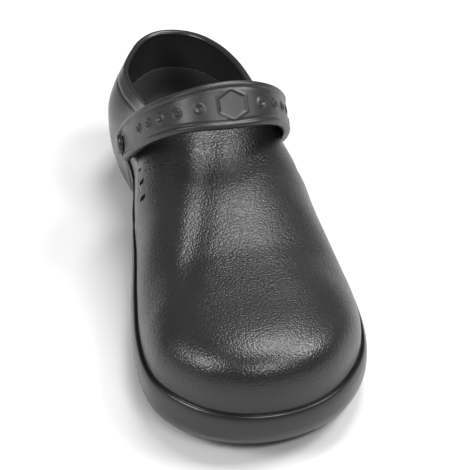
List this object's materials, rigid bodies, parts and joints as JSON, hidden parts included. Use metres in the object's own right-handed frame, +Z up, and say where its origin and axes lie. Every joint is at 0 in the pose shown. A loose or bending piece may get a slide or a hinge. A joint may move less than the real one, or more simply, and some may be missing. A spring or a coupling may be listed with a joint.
{
  "type": "non-slip work shoe",
  "caption": "Closed-toe moulded foam work clog for the left foot, hollow, with a swung-forward heel strap on pivot studs and grippy rubber tread inserts.",
  "frame": {"origin": "middle of the shoe's box, on the floor under the sole", "axes": "+Z up, -Y towards the toe, +X towards the lateral side of the left foot"},
  "size_m": [0.1118, 0.29, 0.1151],
  "materials": {
    "body_foam": "satin black moulded foam, grained on the vamp",
    "tread_rubber": "black tread rubber",
    "insole_foam": "matt black footbed foam",
    "strap_foam": "satin black moulded foam",
    "stud_plastic": "black moulded plastic"
  },
  "bodies": {
    "root": {"clog_body": "body_foam", "outsole_forefoot": "tread_rubber", "outsole_heel": "tread_rubber", "insole": "insole_foam", "heel_strap": "strap_foam", "pivot_stud_medial": "stud_plastic", "pivot_stud_lateral": "stud_plastic"}
  },
  "joints": []
}
